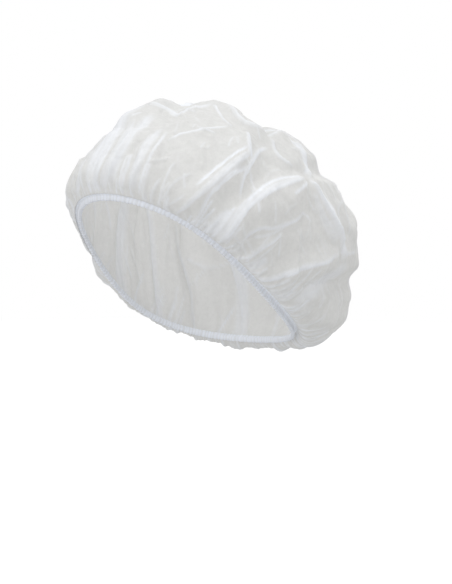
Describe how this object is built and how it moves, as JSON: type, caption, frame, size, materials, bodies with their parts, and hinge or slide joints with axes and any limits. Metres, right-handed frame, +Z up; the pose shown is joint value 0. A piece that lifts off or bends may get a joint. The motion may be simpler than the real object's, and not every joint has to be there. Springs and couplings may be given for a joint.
{
  "type": "disposable cap",
  "caption": "White nonwoven bouffant cap: a puffed round of thin cloth gathered at the rim by an elastic, kept in its worn form.",
  "frame": {"origin": "middle of the elastic loop, where the cap sits on a head", "axes": "+Z up on the head, -Y towards the forehead, +X towards the wearer's left"},
  "size_m": [0.2103, 0.2554, 0.1969],
  "materials": {
    "nonwoven": "matt, thin and translucent",
    "elastic": "matt, covered elastic"
  },
  "bodies": {
    "root": {"crown": "nonwoven", "elastic_band": "elastic"}
  },
  "joints": []
}
